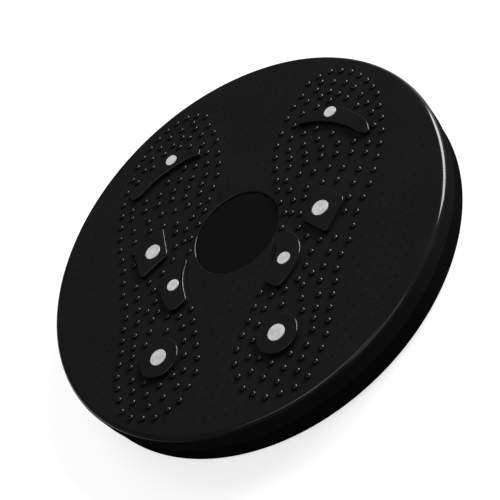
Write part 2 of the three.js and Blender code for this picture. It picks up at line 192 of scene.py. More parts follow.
def rounded(corners: Sequence[Corner], closed: bool = False, steps: int = 6) -> np.ndarray:
    """A line through corners, each given as two coordinates and the radius that rounds it.

    Between unit directions a and b to its neighbours, with half angle h, a corner's arc has its
    centre at radius / sin h along a + b and starts radius / tan h along each side. A guard point
    just beyond each end of the arc keeps the flats flat.

    Args:
        corners: First coordinate, second coordinate and radius of each corner.
        closed: Whether the line closes on itself.
        steps: Chords in each arc.

    Returns:
        The points of the line.
    """
    places = np.array([corner[:2] for corner in corners], float)
    share = np.linspace(0, 1, steps + 1)[:, None]
    line = []
    for index, (_, _, radius) in enumerate(corners):
        corner = places[index]
        if radius == 0 or (not closed and index in (0, len(corners) - 1)):
            line.append(corner[None])
            continue
        before = places[index - 1] - corner
        after = places[(index + 1) % len(places)] - corner
        before, after = before / np.linalg.norm(before), after / np.linalg.norm(after)
        half = math.acos(np.clip(before @ after, -1, 1)) / 2
        inwards = (before + after) / np.linalg.norm(before + after)
        centre = corner + inwards * radius / math.sin(half)
        reach, guard = radius / math.tan(half), radius * GUARD_SHARE
        start, end = corner + before * reach - centre, corner + after * reach - centre
        turn = math.pi - 2 * half
        curve = (np.sin((1 - share) * turn) * start + np.sin(share * turn) * end) / math.sin(turn)
        first, last = corner + before * (reach + guard), corner + after * (reach + guard)
        line.append(np.vstack([first, centre + curve, last]))
    return np.vstack(line)


def arc(centre: Pair, radius: float, start: float, end: float, steps: int) -> list[Corner]:
    """Corners on an arc from one angle to another, in radians, with no rounding of their own."""
    angles = np.linspace(start, end, steps + 1)
    return [(centre[0] + radius * math.cos(a), centre[1] + radius * math.sin(a), 0.0) for a in angles]


def softened(corners: np.ndarray, tip: float, step: float) -> np.ndarray:
    """A closed outline that softens its corners, in even steps.

    Each corner c becomes the curve (1-t)^2 a + 2 t (1-t) c + t^2 b. Its ends a and b are the middles
    of the corner's sides, or lie at most the tip's reach away where the corner is sharp.

    Args:
        corners: Corners of the outline.
        tip: How far from a sharp corner its curve may start.
        step: Distance between the points of the result.

    Returns:
        The outline's points, anticlockwise.
    """
    before, after = np.roll(corners, 1, axis=0) - corners, np.roll(corners, -1, axis=0) - corners
    before_length = np.linalg.norm(before, axis=1, keepdims=True)
    after_length = np.linalg.norm(after, axis=1, keepdims=True)
    before, after = before / before_length, after / after_length
    sharp = (before * after).sum(1, keepdims=True) > math.cos(math.radians(TIP_ANGLE))
    reach = np.minimum(before_length, after_length) / 2
    reach = np.where(sharp, np.minimum(reach, tip), reach)
    t = np.linspace(0, 1, CURVE_POINTS)[None, :, None]
    a, b, c = (corners + before * reach)[:, None], (corners + after * reach)[:, None], corners[:, None]
    curve = (1 - t) ** 2 * a + 2 * t * (1 - t) * c + t**2 * b
    return even_loop(curve.reshape(-1, 2), step)


def even_loop(line: np.ndarray, step: float) -> np.ndarray:
    """A closed line resampled at even steps along its length, anticlockwise.

    Args:
        line: Points of the line, which closes on itself.
        step: Distance between the points of the result.

    Returns:
        The resampled points.
    """
    ring = np.vstack([line, line[:1]])
    length = np.concatenate([[0], np.cumsum(np.linalg.norm(np.diff(ring, axis=0), axis=1))])
    at = np.linspace(0, length[-1], round(length[-1] / step), endpoint=False)
    even = np.stack([np.interp(at, length, ring[:, 0]), np.interp(at, length, ring[:, 1])], -1)
    after = np.roll(even, -1, axis=0)
    area = (even[:, 0] * after[:, 1] - even[:, 1] * after[:, 0]).sum()
    return even if area > 0 else even[::-1]


def raised(outline: np.ndarray, profile: np.ndarray) -> Surface:
    """A profile carried round an anticlockwise outline.

    Each point of the outline moves inwards, along its own normal, by the profile's first
    coordinate, and up to its second.

    Args:
        outline: Points of the outline.
        profile: Inset and height of each row.

    Returns:
        The surface between the first row and the last.
    """
    along = np.roll(outline, -1, axis=0) - np.roll(outline, 1, axis=0)
    along /= np.linalg.norm(along, axis=1, keepdims=True)
    inwards = np.stack([-along[:, 1], along[:, 0]], -1)
    places = outline[None] + profile[:, :1, None] * inwards[None]
    heights = np.broadcast_to(profile[:, 1:, None], (len(profile), len(outline), 1))
    return grid(np.concatenate([places, heights], -1))


def flat_between(
    outline: np.ndarray, holes: Sequence[np.ndarray], height: float, upwards: bool = True
) -> Surface:
    """A flat face inside an outline and outside its holes.

    Args:
        outline: Points of the outline.
        holes: Points of each hole's edge.
        height: Level of the face.
        upwards: Whether it faces up.

    Returns:
        The face, cut into triangles that all turn the same way.
    """
    loops = [outline, *holes]
    flat = np.concatenate(loops)
    triangles = np.array(tessellate_polygon([[Vector((x, y, 0.0)) for x, y in loop] for loop in loops]))
    a, b, c = (flat[triangles[:, corner]] for corner in range(3))
    turn = (b[:, 0] - a[:, 0]) * (c[:, 1] - a[:, 1]) - (b[:, 1] - a[:, 1]) * (c[:, 0] - a[:, 0])
    wrong = (turn < 0) == upwards
    triangles[wrong] = triangles[wrong][:, ::-1]
    return Surface(np.column_stack([flat, np.full(len(flat), height)]), [triangles])


def domes(places: np.ndarray, profile: np.ndarray, sides: int) -> Surface:
    """One small turned dome at each place.

    Every dome is the turned profile carried to its place. Triangles close it: round a point at
    the profile's last height, and round one at its first.

    Args:
        places: Centres of the domes.
        profile: Radius and height of each ring, from the root to the top.
        sides: Points round each ring.

    Returns:
        All the domes as one surface, closed at the top and at the root.
    """
    wall = turned(profile[:-1], sides)
    crown = len(wall.points)
    one = np.vstack([wall.points, [[0, 0, profile[-1, 1]], [0, 0, profile[0, 1]]]])
    points = one[None] + np.column_stack([places, np.zeros(len(places))])[:, None]
    around = np.arange(sides)
    beyond, last = (around + 1) % sides, crown - sides
    caps = np.concatenate([
        np.stack([last + around, last + beyond, 0 * around + crown], -1),
        np.stack([beyond, around, 0 * around + crown + 1], -1),
    ])
    offset = np.arange(len(places))[:, None, None] * len(one)
    faces = [(part[None] + offset).reshape(-1, part.shape[1]) for part in (wall.faces[0], caps)]
    return Surface(points.reshape(-1, 3), faces)


def tapered_boxes(start: float, end: float, bottom: Pair, top: Pair, angles: np.ndarray) -> Surface:
    """Ribs along the radius, one at each angle, with a thickness of their own at either level.

    The corner at radius r, offset s and level z of the rib at angle a is
    (r cos a - s sin a, r sin a + s cos a, z).

    Args:
        start: Radius where each rib starts.
        end: Radius where it ends.
        bottom: Level and thickness of the lower face.
        top: Level and thickness of the upper face.
        angles: Where the ribs stand.

    Returns:
        The closed ribs.
    """
    radius = np.array([start, end, end, start] * 2)
    height, thickness = np.repeat([bottom, top], 4, axis=0).T
    across = np.array([-1, -1, 1, 1] * 2) * thickness / 2
    cos, sin = np.cos(angles)[:, None], np.sin(angles)[:, None]
    points = np.stack([radius * cos - across * sin, radius * sin + across * cos, height + 0 * cos], -1)
    box = np.array([[3, 2, 1, 0], [4, 5, 6, 7], [0, 1, 5, 4], [1, 2, 6, 5], [2, 3, 7, 6], [3, 0, 4, 7]])
    faces = box[None] + 8 * np.arange(len(angles))[:, None, None]
    return Surface(points.reshape(-1, 3), [faces.reshape(-1, 4)])


def inside(places: np.ndarray, outline: np.ndarray) -> np.ndarray:
    """Which places lie inside an outline.

    A ray towards +X crosses each edge that spans the place's height and passes to its right. An
    odd number of crossings means that the place is inside.

    Args:
        places: The places to test.
        outline: Points of the outline.

    Returns:
        True for each place inside.
    """
    a, b = outline[None], np.roll(outline, -1, axis=0)[None]
    x, y = places[:, :1], places[:, 1:]
    spans = (a[..., 1] > y) != (b[..., 1] > y)
    rise = np.where(b[..., 1] == a[..., 1], 1.0, b[..., 1] - a[..., 1])
    crossing = a[..., 0] + (y - a[..., 1]) / rise * (b[..., 0] - a[..., 0])
    return (spans & (x < crossing)).sum(1) % 2 == 1


def make_piece(
    name: str, surfaces: Sequence[Surface], sharp_above: float = MOULDED_SHARP
) -> bpy.types.Object:
    """A mesh object from surfaces, with shared points joined and its faces shaded smooth.

    Args:
        name: The piece's name.
        surfaces: What the mesh is made of.
        sharp_above: Angle in degrees past which an edge stays sharp.

    Returns:
        The object, in the scene, at the origin.
    """
    points = np.concatenate([surface.points for surface in surfaces])
    starts = np.cumsum([0] + [len(surface.points) for surface in surfaces[:-1]])
    faces = [face + start for surface, start in zip(surfaces, starts) for face in surface.faces]
    corners = np.concatenate([face.ravel() for face in faces])
    totals = np.concatenate([np.full(len(face), face.shape[1]) for face in faces])
    mesh = bpy.data.meshes.new(name)
    mesh.vertices.add(len(points))
    mesh.vertices.foreach_set("co", points.astype(np.float32).ravel())
    mesh.loops.add(len(corners))
    mesh.loops.foreach_set("vertex_index", corners.astype(np.int32))
    mesh.polygons.add(len(totals))
    mesh.polygons.foreach_set("loop_start", (np.cumsum(totals) - totals).astype(np.int32))
    mesh.polygons.foreach_set("loop_total", totals.astype(np.int32))
    mesh.update(calc_edges=True)
    mesh.validate()
    welded = bmesh.new()
    welded.from_mesh(mesh)
    bmesh.ops.remove_doubles(welded, verts=welded.verts, dist=WELD_DISTANCE)
    welded.to_mesh(mesh)
    welded.free()
    mesh.polygons.foreach_set("use_smooth", np.ones(len(mesh.polygons), bool))
    mesh.set_sharp_from_angle(angle=math.radians(sharp_above))
    piece = bpy.data.objects.new(name, mesh)
    bpy.context.scene.collection.objects.link(piece)
    return piece


# Shader maths


class Value:
    """A shader socket that takes part in Python sums, adding a Math node for each operator."""

    def __init__(self, graph: Graph, socket: bpy.types.NodeSocket) -> None:
        """Wraps an output socket of the graph."""
        self.graph = graph
        self.socket = socket

    def _math(self, operation: str, *terms: Value | float) -> Value:
        """One Math node over the terms."""
        return self.graph.node("ShaderNodeMath", {"operation": operation}, dict(enumerate(terms)))

    def __add__(self, other: Value | float) -> Value:
        """The sum."""
        return self._math("ADD", self, other)

    __radd__ = __add__

    def __sub__(self, other: Value | float) -> Value:
        """The difference."""
        return self._math("SUBTRACT", self, other)

    def __rsub__(self, other: Value | float) -> Value:
        """The difference, the other way round."""
        return self._math("SUBTRACT", other, self)

    def __mul__(self, other: Value | float) -> Value:
        """The product."""
        return self._math("MULTIPLY", self, other)

    __rmul__ = __mul__

    def at_least(self, other: Value | float) -> Value:
        """The larger of the two."""
        return self._math("MAXIMUM", self, other)

    def swing(self) -> Value:
        """Noise from 0 to 1, shifted to swing evenly round zero."""
        return self - 0.5

    def between(self, low: float, high: float) -> Value:
        """Rises smoothly from 0 at low to 1 at high."""
        limits = {"Value": self, "From Min": low, "From Max": high}
        return self.graph.node("ShaderNodeMapRange", {"interpolation_type": "SMOOTHSTEP"}, limits)


Input = Value | float | tuple[float, ...]

# Sockets of a Mix node that mixes colours
MIX_SHARE, MIX_LOW, MIX_HIGH, MIX_RESULT = 0, 6, 7, 2


class Graph:
    """The node tree of one material or world."""

    def __init__(self, owner: bpy.types.Material | bpy.types.World) -> None:
        """Empties the owner's tree and keeps it.

        Args:
            owner: The material or the world.
        """
        owner.use_nodes = True
        self.tree = owner.node_tree
        self.tree.nodes.clear()

    def add(
        self,
        kind: str,
        settings: Mapping[str, object] | None = None,
        inputs: Mapping[str | int, Input] | None = None,
    ) -> bpy.types.Node:
        """Adds a node, sets it and links it.

        Args:
            kind: The node's type.
            settings: Its properties, set first.
            inputs: A value or a link for each socket.

        Returns:
            The node.
        """
        made = self.tree.nodes.new(kind)
        for name, setting in (settings or {}).items():
            setattr(made, name, setting)
        for name, given in (inputs or {}).items():
            if isinstance(given, Value):
                self.tree.links.new(given.socket, made.inputs[name])
            else:
                made.inputs[name].default_value = given
        return made

    def node(
        self,
        kind: str,
        settings: Mapping[str, object] | None = None,
        inputs: Mapping[str | int, Input] | None = None,
        output: str | int = 0,
    ) -> Value:
        """One output of a node that is added."""
        return Value(self, self.add(kind, settings, inputs).outputs[output])

    def place(self) -> Value:
        """Object coordinates."""
        return self.node("ShaderNodeTexCoord", output="Object")

    def upwards(self) -> Value:
        """The part of the surface's normal along the object's Z axis."""
        normal = self.node("ShaderNodeTexCoord", output="Normal")
        return self.node("ShaderNodeSeparateXYZ", inputs={"Vector": normal}, output="Z")

    def slant(self) -> Value:
        """How far the surface turns away from the eye: 0 where it faces it, 1 at the outline."""
        return self.node("ShaderNodeLayerWeight", inputs={"Blend": 0.5}, output="Facing")

    def noise(self, place: Value, grain_size: float, detail: float = 2.0) -> Value:
        """Soft noise from 0 to 1 whose features are about grain_size metres."""
        inputs = {"Vector": place, "Scale": 1 / grain_size, "Detail": detail}
        return self.node("ShaderNodeTexNoise", inputs=inputs)

    def blend(self, share: Value, low: Colour, high: Colour) -> Value:
        """A colour between two, by a share from 0 to 1."""
        inputs = {MIX_SHARE: share, MIX_LOW: (*low, 1), MIX_HIGH: (*high, 1)}
        return self.node("ShaderNodeMix", {"data_type": "RGBA"}, inputs, MIX_RESULT)

    def relief(self, height: Value, depth: float) -> Value:
        """A normal tilted by a height map of the given depth in metres."""
        return self.node("ShaderNodeBump", inputs={"Strength": 1.0, "Distance": depth, "Height": height})

    def surface(self, inputs: Mapping[str, Input]) -> None:
        """Ends the tree in a Principled surface."""
        self.end(self.node("ShaderNodeBsdfPrincipled", inputs=inputs))

    def end(self, shader: Value, kind: str = "ShaderNodeOutputMaterial") -> None:
        """Links a shader to the tree's output."""
        self.add(kind, inputs={"Surface": shader})


def grey(level: float) -> Colour:
    """A neutral colour."""
    return (level, level, level)


# Finishes


@dataclass(frozen=True)
class Finish:
    """A procedural finish whose colour lies between two.

    Args:
        name: The material's name.
        slot: The record's slot that it fills; not used.
        dark: Colour where it is dull or clean.
        light: Colour where it is bright, rubbed or dusty.
        roughness: Roughness of its face.
    """

    name: str
    slot: Slot
    dark: Colour
    light: Colour
    roughness: float

    def colour(self, graph: Graph, clouds: Value, fine: Value, share: float) -> Value:
        """The colour, by the clouds for their share and by the fine grain for the rest."""
        return graph.blend(clouds * share + fine * (1 - share), self.dark, self.light)

    def inputs(self, graph: Graph, place: Value) -> dict[str, Input]:
        """What the finish feeds to the Principled surface, from places on the object."""
        raise NotImplementedError

    def material(self) -> bpy.types.Material:
        """Builds the material.

        Returns:
            The material, with its tree made.
        """
        made = bpy.data.materials.new(self.name)
        graph = Graph(made)
        graph.surface(self.inputs(graph, graph.place()))
        return made


@dataclass(frozen=True)
class MouldedPlastic(Finish):
    """Black moulded plastic: matt spark texture on the flats, rubbed glossy where it is rounded.

    Args:
        polish: Gloss of the rounded edges, from 0 to 1.
        grain: Size of the spark texture's grains.
        relief: Depth of the spark texture.
        ripple: Size of the waves under the grains, which are half as deep.
        patch: Size of the cloudy patches.
        patch_limits: Noise between which the patches go from dark to light.
        patch_share: The patches' share in the colour.
        handled: Size of the marks that hands and feet leave.
        gloss_starts: Upward parts of the normal between which the gloss rises, coming from a wall.
        gloss_ends: Upward parts between which it falls again, towards a flat.
        gloss_fades: Slants between which it fades, towards the outline.
        gloss_roughness: Roughness of the gloss.
        smoothing: How much less rough the rounded parts are, and how much gloss the marks take.
        mark_roughness: Change of roughness over the marks.
        grain_roughness: Change of roughness over the grains.
    """

    polish: float
    grain: float = 0.45 * MM
    relief: float = 0.012 * MM
    ripple: float = 2.2 * MM
    patch: float = 34 * MM
    patch_limits: Pair = (0.3, 0.7)
    patch_share: float = 0.6
    handled: float = 9 * MM
    gloss_starts: Pair = (0.43, 0.66)
    gloss_ends: Pair = (0.9, 0.965)
    gloss_fades: Pair = (0.55, 0.85)
    gloss_roughness: float = 0.12
    smoothing: float = 0.12
    mark_roughness: float = 0.1
    grain_roughness: float = 0.08

    def inputs(self, graph: Graph, place: Value) -> dict[str, Input]:
        """Gloss follows how far the surface turns from level and upright, and texture the flats.

        Args:
            graph: The material's graph.
            place: Object coordinates.

        Returns:
            A value for each socket.
        """
        upwards = graph.upwards()
        rounded_part = upwards.between(*self.gloss_starts) * (1 - upwards.between(*self.gloss_ends))
        patches = graph.noise(place, self.patch, detail=4)
        sparks = graph.noise(place, self.grain, detail=3)
        marks = graph.noise(place, self.handled, detail=5)
        texture = sparks.swing() + 0.5 * graph.noise(place, self.ripple).swing()
        unevenness = self.mark_roughness * marks.swing() + self.grain_roughness * sparks.swing()
        shine = (self.polish - self.smoothing * marks) * (1 - graph.slant().between(*self.gloss_fades))
        return {
            "Base Color": self.colour(graph, patches.between(*self.patch_limits), sparks, self.patch_share),
            "Roughness": self.roughness + unevenness - self.smoothing * rounded_part,
            "Specular IOR Level": 0.0,
            "Coat Weight": rounded_part * shine,
            "Coat Roughness": self.gloss_roughness,
            "Normal": graph.relief(texture * (1 - rounded_part), self.relief),
        }


@dataclass(frozen=True)
class PlatedMetal(Finish):
    """Plated or ground metal with a satin face, faint cloudy patches and fine pits.

    Args:
        metallic: How metallic it is, from 0 to 1.
        patch: Size of the cloudy patches.
        patch_limits: Noise between which the patches go from dull to bright.
        patch_share: The patches' share in the colour.
        pit: Size of the pits.
        pit_depth: Depth of the pits.
        patch_roughness: How much rougher the dull patches are.
        pit_roughness: How much rougher the pits are.
    """

    metallic: float
    patch: float = 3.0 * MM
    patch_limits: Pair = (0.25, 0.7)
    patch_share: float = 0.75
    pit: float = 0.35 * MM
    pit_depth: float = 0.004 * MM
    patch_roughness: float = 0.14
    pit_roughness: float = 0.06

    def inputs(self, graph: Graph, place: Value) -> dict[str, Input]:
        """The dull patches are also rougher.

        Args:
            graph: The material's graph.
            place: Object coordinates.

        Returns:
            A value for each socket.
        """
        clouds = graph.noise(place, self.patch, detail=4)
        pits = graph.noise(place, self.pit, detail=2)
        dulled = self.roughness - self.patch_roughness * clouds.swing()
        return {
            "Base Color": self.colour(graph, clouds.between(*self.patch_limits), pits, self.patch_share),
            "Metallic": self.metallic,
            "Roughness": dulled + self.pit_roughness * pits,
            "Normal": graph.relief(pits, self.pit_depth),
        }


@dataclass(frozen=True)
class SoftMatt(Finish):
    """Rubber or nylon: no metal in it, matt, with a fine grain and paler rubbed marks.

    Args:
        relief: Depth of its grain.
        grain: Size of its grain.
        rub: Size of the rubbed marks.
        rub_limits: Noise between which the marks begin and are full.
        rub_share: The marks' share in the colour.
        rub_roughness: Change of roughness over the marks.
    """

    relief: float
    grain: float = 0.5 * MM
    rub: float = 7 * MM
    rub_limits: Pair = (0.4, 0.75)
    rub_share: float = 0.7
    rub_roughness: float = 0.12

    def inputs(self, graph: Graph, place: Value) -> dict[str, Input]:
        """The rubbed marks are paler and rougher.

        Args:
            graph: The material's graph.
            place: Object coordinates.

        Returns:
            A value for each socket.
        """
        rubbed = graph.noise(place, self.rub, detail=5)
        grain = graph.noise(place, self.grain, detail=3)
        return {
            "Base Color": self.colour(graph, rubbed.between(*self.rub_limits), grain, self.rub_share),
            "Roughness": self.roughness + self.rub_roughness * rubbed.swing(),
            "Normal": graph.relief(grain, self.relief),
        }


TOP_PLASTIC = MouldedPlastic("top_plastic", Slot.TOP, grey(0.0094), grey(0.0118), 0.55, polish=1.0)
# Bumps: the face's own moulding in a darker colour, which is painted shade for their shaded bodies
SHADED_BUMP_PLASTIC = MouldedPlastic("bump_plastic", Slot.TOP, grey(0.0066), grey(0.0084), 0.55, polish=0.8)
# Pips: the face's own moulding in a darker colour, which is painted shade so that they read as dark dots
SHADED_PIP_PLASTIC = MouldedPlastic("pip_plastic", Slot.TOP, grey(0.0058), grey(0.0074), 0.55, polish=0.2)
BASE_PLASTIC = MouldedPlastic("base_plastic", Slot.BASE, grey(0.005), grey(0.0066), 0.6, polish=0.5)
CAP_PLASTIC = MouldedPlastic(
    "cap_plastic", Slot.INSERT, grey(0.0052), grey(0.0064), 0.6,
    polish=0.4, grain=0.25 * MM, relief=0.004 * MM,
)
NICKEL = PlatedMetal("magnet_nickel", Slot.MAGNET, (0.34, 0.34, 0.345), grey(0.45), 0.42, metallic=0.35)
ZINC = PlatedMetal("zinc_plate", Slot.STEEL, (0.42, 0.43, 0.45), (0.62, 0.63, 0.64), 0.34, metallic=1.0)
BALL_STEEL = PlatedMetal(
    "ball_steel", Slot.STEEL, (0.5, 0.5, 0.51), (0.58, 0.58, 0.59), 0.12, metallic=1.0, patch=1.5 * MM
)
NYLON = SoftMatt(
    "natural_nylon", Slot.NYLON, (0.6, 0.59, 0.54), (0.76, 0.75, 0.7), 0.48, relief=0.008 * MM
)
RUBBER = SoftMatt("foot_rubber", Slot.RUBBER, grey(0.012), grey(0.028), 0.82, relief=0.02 * MM)


class Dresser:
    """Makes each piece, joins it to its body and finish, and hides the frame nodes that it stands for."""

    def __init__(self) -> None:
        """Starts with no finish made."""
        self.made: dict[str, bpy.types.Material] = {}

    def add(
        self,
        name: str,
        surfaces: Sequence[Surface],
        body: Body | str,
        finish: Finish,
        nodes: Sequence[str] = (),
        sharp_above: float = MOULDED_SHARP,
    ) -> None:
        """Makes a piece and gives it its finish and its place in the frame.

        Args:
            name: The piece's name.
            surfaces: What its mesh is made of.
            body: The body that it rides on.
            finish: Its finish.
            nodes: The frame's nodes that it stands for.
            sharp_above: Angle in degrees past which an edge stays sharp.
        """
        piece = make_piece(name, surfaces, sharp_above)
        if finish.name not in self.made:
            self.made[finish.name] = finish.material()
        piece.data.materials.append(self.made[finish.name])
        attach(piece, body.value if isinstance(body, Body) else body)
        if nodes:
            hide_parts(*nodes)


# The frame


def span(node: str) -> Pair:
    """Lowest and highest level of a frame node."""
    low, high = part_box(node)
    return low.z, high.z


def half_width(node: str) -> float:
    """Largest reach of a frame node from its own middle, along X."""
    low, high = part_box(node)
    return (high.x - low.x) / 2


def middle(node: str) -> Pair:
    """The middle of a frame node, seen from above."""
    low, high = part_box(node)
    return (low.x + high.x) / 2, (low.y + high.y) / 2


def mount_level(name: str) -> float:
    """Level of one of the record's mounts."""
    return next(mount["pos_m"][2] for mount in frame["record"]["mounts"] if mount["name"] == name)


@dataclass
class BallRing:
    """The ring of balls, and what both plates mould round it: a grooved race, and ribs along the radius.

    The frame gives the ring's radius and level and the size of its balls. A side of 1 means the
    plate above the balls, and -1 the plate below them.
    """

    race_width: float = 16 * MM
    race_land: float = 3 * MM
    groove_steps: int = 16
    rib_count: int = 8
    rib_thickness: float = 2.4 * MM
    rib_depth: float = 4.5 * MM
    rib_taper: float = 0.5 * MM
    rib_root: float = 0.2 * MM
    rib_reach: float = 0.3 * MM

    def __post_init__(self) -> None:
        """Reads the levels and places that the frame gives."""
        bottom, top = span("steel_ball_1")
        self.ball_radius = (top - bottom) / 2
        self.radius = middle("steel_ball_1")[0]
        self.level = sum(span("ball_cage")) / 2
        self.pocket = self.ball_radius + SEAT_GAP
        self.inner = self.radius - self.race_width / 2
        self.outer = self.radius + self.race_width / 2

    def race(self, plate: float, side: int) -> list[Corner]:
        """Corners of the race that stands on a plate, with its groove for the balls.

        Args:
            plate: Level of the plate's inner face.
            side: Which plate it is.

        Returns:
            The corners, outwards above the balls and inwards below them.
        """
        land = self.level + side * self.race_land
        start = math.asin(self.race_land / self.pocket)
        groove = (side * (math.pi - start), side * start, self.groove_steps)
        corners = [
            (self.inner, plate, ROOT_ROUND),
            (self.inner, land, SOFT_ROUND),
            *arc((self.radius, self.level), self.pocket, *groove),
            (self.outer, land, SOFT_ROUND),
            (self.outer, plate, ROOT_ROUND),
        ]
        return corners[::side]

    def ribs(self, plate: float, side: int, start: float, wall: float) -> list[Surface]:
        """Ribs on a plate, from a start to the race and from the race to the outer wall.

        Args:
            plate: Level of the plate's inner face.
            side: Which plate it is.
            start: Radius where the inner ribs start.
            wall: Radius of the outer wall's inner face.

        Returns:
            The inner ribs and the outer ones.
        """
        root = (plate + side * self.rib_root, self.rib_thickness)
        tip = (plate - side * self.rib_depth, self.rib_thickness - self.rib_taper)
        bottom, top = sorted([root, tip])
        reach, angles = self.rib_reach, turns(self.rib_count, 0.5)
        return [
            tapered_boxes(start, self.inner + reach, bottom, top, angles),
            tapered_boxes(self.outer - reach, wall + reach, bottom, top, angles),
        ]


# The platform


@dataclass
class Footprint:
    """Where the right footprint lies, and its raised pads in shares of half its width and length."""

    aside: float = 55 * MM
    behind: float = 5 * MM
    width: float = 84 * MM
    length: float = 234 * MM
    crescent_shares: tuple[Pair, ...] = (
        (-0.41, 0.7), (-0.41, 0.655), (-0.15, 0.648), (0.08, 0.617), (0.32, 0.574), (0.51, 0.523),
        (0.65, 0.47), (0.77, 0.452), (0.84, 0.466), (0.8, 0.53), (0.68, 0.59), (0.5, 0.648),
        (0.3, 0.7), (0.12, 0.726), (-0.12, 0.724),
    )
    kite_shares: tuple[Pair, ...] = (
        (0.05, 0.203), (-0.157, -0.013), (0.277, -0.137), (0.532, 0.066),
    )
    kidney_shares: tuple[Pair, ...] = (
        (-0.4, -0.045), (-0.55, -0.08), (-0.52, -0.17), (-0.56, -0.247), (-0.665, -0.343), (-0.48, -0.39),
        (-0.395, -0.393), (-0.3, -0.36), (-0.165, -0.28), (-0.1, -0.205), (-0.14, -0.135), (-0.26, -0.075),
    )
    crescent_tip: float = 1.2 * MM
    kite_tip: float = 4.0 * MM
    kidney_tip: float = 2.0 * MM
    heel_radius: float = 13.7 * MM
    heel_sides: int = 160
    step: float = 0.45 * MM

    def drawn(self, shares: Sequence[Pair], tip: float) -> np.ndarray:
        """The softened outline through shares of the right footprint."""
        places = np.array(shares) * [self.width / 2, self.length / 2] + [self.aside, -self.behind]
        return softened(places, tip, self.step)

    def outlines(self) -> dict[str, np.ndarray]:
        """The pads of the right footprint.

        Returns:
            The anticlockwise outline of each, by the name of the magnet in it.
        """
        return {
            "toe": self.drawn(self.crescent_shares, self.crescent_tip),
            "ball": self.drawn(self.kite_shares, self.kite_tip),
            "arch": self.drawn(self.kidney_shares, self.kidney_tip),
            "heel": circle(self.heel_radius, self.heel_sides, *middle("magnet_heel_right")),
        }


@dataclass(frozen=True)
class Stud:
    """A small dome of the face.

    Args:
        radius: Radius at its root.
        height: Height over the face.
        sides: Points round it.
        shape: Shares of the radius and of the height, from the root to the top.
    """

    radius: float
    height: float
    sides: int
    shape: tuple[Pair, ...]


